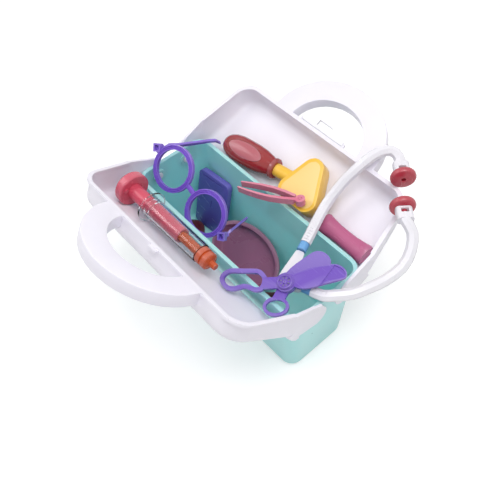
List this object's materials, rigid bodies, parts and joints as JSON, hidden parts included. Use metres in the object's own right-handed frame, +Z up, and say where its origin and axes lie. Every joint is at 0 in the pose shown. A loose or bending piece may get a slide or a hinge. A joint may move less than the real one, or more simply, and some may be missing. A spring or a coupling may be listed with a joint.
{
  "type": "toy doctor case",
  "caption": "Open toy doctor case: mint tub, two white hinged lid trays with handles, a latch, and loose toy instruments in and on it.",
  "frame": {"origin": "centre of the tub's flat base", "axes": "+X along the case towards the stethoscope, +Y from the front lid to the rear lid, +Z up"},
  "size_m": [0.2852, 0.3277, 0.1923],
  "materials": {
    "mint_plastic": "satin",
    "white_plastic": "satin",
    "coral_plastic": "satin",
    "orange_plastic": "satin",
    "clear_plastic": "gloss",
    "red_plastic": "gloss",
    "pink_plastic": "satin",
    "yellow_plastic": "satin",
    "purple_plastic": "satin",
    "indigo_plastic": "satin",
    "maroon_plastic": "satin",
    "tip_red_plastic": "satin",
    "blue_plastic": "satin",
    "hose_rubber": "matte"
  },
  "bodies": {
    "case": {"tub": "mint_plastic", "card_case": "indigo_plastic"},
    "front_lid_body": {"front_lid": "white_plastic"},
    "rear_lid_body": {"rear_lid": "white_plastic"},
    "latch_body": {"latch": "white_plastic"},
    "syringe": {"syringe_barrel": "clear_plastic", "syringe_nozzle": "orange_plastic"},
    "plunger": {"syringe_plunger": "coral_plastic"},
    "hammer": {"hammer_grip": "red_plastic", "hammer_inlay": "pink_plastic", "hammer_head": "yellow_plastic"},
    "roll": {"bandage_roll": "pink_plastic"},
    "dish_body": {"dish": "maroon_plastic"},
    "stethoscope": {"steth_upper_arm": "white_plastic", "steth_lower_arm": "white_plastic", "steth_upper_ear_tip": "tip_red_plastic", "steth_lower_ear_tip": "tip_red_plastic", "steth_upper_sleeve": "blue_plastic", "steth_lower_sleeve": "blue_plastic", "steth_yoke": "white_plastic", "steth_hose": "hose_rubber", "steth_chest_piece": "tip_red_plastic"},
    "scissors": {"scissor_loop_half": "purple_plastic", "scissor_pin": "purple_plastic"},
    "scissor_ring_body": {"scissor_ring_half": "purple_plastic"},
    "glasses": {"glasses_frame": "purple_plastic"},
    "left_temple": {"glasses_left_temple": "purple_plastic"},
    "right_temple": {"glasses_right_temple": "purple_plastic"},
    "tweezers": {"tweezer_lower_arm": "pink_plastic"},
    "tweezer_upper_body": {"tweezer_upper_arm": "pink_plastic"}
  },
  "joints": [
    {"name": "front_lid_hinge", "type": "hinge", "parent": "case", "child": "front_lid_body", "pos_m": [0, -0.0186, 0.0959], "axis": [-1, 0, 0], "range_deg": [0, 60.7]},
    {"name": "rear_lid_hinge", "type": "hinge", "parent": "case", "child": "rear_lid_body", "pos_m": [0, 0.0186, 0.0959], "axis": [1, 0, 0], "range_deg": [0, 66.7]},
    {"name": "latch_hinge", "type": "hinge", "parent": "rear_lid_body", "child": "latch_body", "pos_m": [-0.003, 0.11087, 0.15393], "axis": [1, 0, 0], "range_deg": [0, 90]},
    {"name": "syringe_lift", "type": "slide", "parent": "front_lid_body", "child": "syringe", "axis": [0, -0.5988, -0.8009], "range_m": [-0.1, 0]},
    {"name": "plunger_slide", "type": "slide", "parent": "syringe", "child": "plunger", "axis": [1, 0, 0], "range_m": [-0.01, 0.024]},
    {"name": "hammer_slide", "type": "slide", "parent": "rear_lid_body", "child": "hammer", "axis": [0, 0.8591, 0.5118], "range_m": [0, 0.008]},
    {"name": "roll_slide", "type": "slide", "parent": "rear_lid_body", "child": "roll", "axis": [0, 0.8591, 0.5118], "range_m": [0, 0.022]},
    {"name": "dish_lift", "type": "slide", "parent": "case", "child": "dish_body", "axis": [0, 0, 1], "range_m": [0, 0.314]},
    {"name": "stethoscope_lift", "type": "slide", "parent": "dish_body", "child": "stethoscope", "axis": [0, 0, 1], "range_m": [0, 0.314]},
    {"name": "scissors_slide", "type": "slide", "parent": "stethoscope", "child": "scissors", "axis": [0, 0, 1], "range_m": [0, 0.0232]},
    {"name": "scissors_pivot", "type": "hinge", "parent": "scissors", "child": "scissor_ring_body", "pos_m": [0.0877, -0.0252, 0.1211], "axis": [0, -0.2588, 0.9659], "range_deg": [-25, 18]},
    {"name": "glasses_lift", "type": "slide", "parent": "dish_body", "child": "glasses", "axis": [0, 0, 1], "range_m": [0, 0.314]},
    {"name": "left_temple_hinge", "type": "hinge", "parent": "glasses", "child": "left_temple", "pos_m": [-0.1226, -0.00556, 0.12349], "axis": [0.2996, 0.0035, 0.9541], "range_deg": [-3, 15]},
    {"name": "right_temple_hinge", "type": "hinge", "parent": "glasses", "child": "right_temple", "pos_m": [-0.01007, -0.01598, 0.08819], "axis": [0.298, 0.5308, 0.7933], "range_deg": [-12, 45]},
    {"name": "tweezers_lift", "type": "slide", "parent": "dish_body", "child": "tweezers", "axis": [0, 0, 1], "range_m": [0, 0.314]},
    {"name": "tweezers_squeeze", "type": "hinge", "parent": "tweezers", "child": "tweezer_upper_body", "pos_m": [0.0307, 0.0492, 0.1223], "axis": [-0.1653, -0.0635, 0.9842], "range_deg": [-5, 0], "stiffness_Nm_per_rad": 0.25}
  ],
  "couplings": [
    {"joint": "dish_lift", "follows": "rear_lid_hinge", "m_per_rad": 0.268},
    {"joint": "stethoscope_lift", "follows": "front_lid_hinge", "m_per_rad": 0.2945},
    {"joint": "glasses_lift", "follows": "front_lid_hinge", "m_per_rad": 0.2945},
    {"joint": "tweezers_lift", "follows": "front_lid_hinge", "m_per_rad": 0.2945},
    {"joint": "scissors_slide", "follows": "front_lid_hinge", "m_per_rad": 0.02}
  ]
}
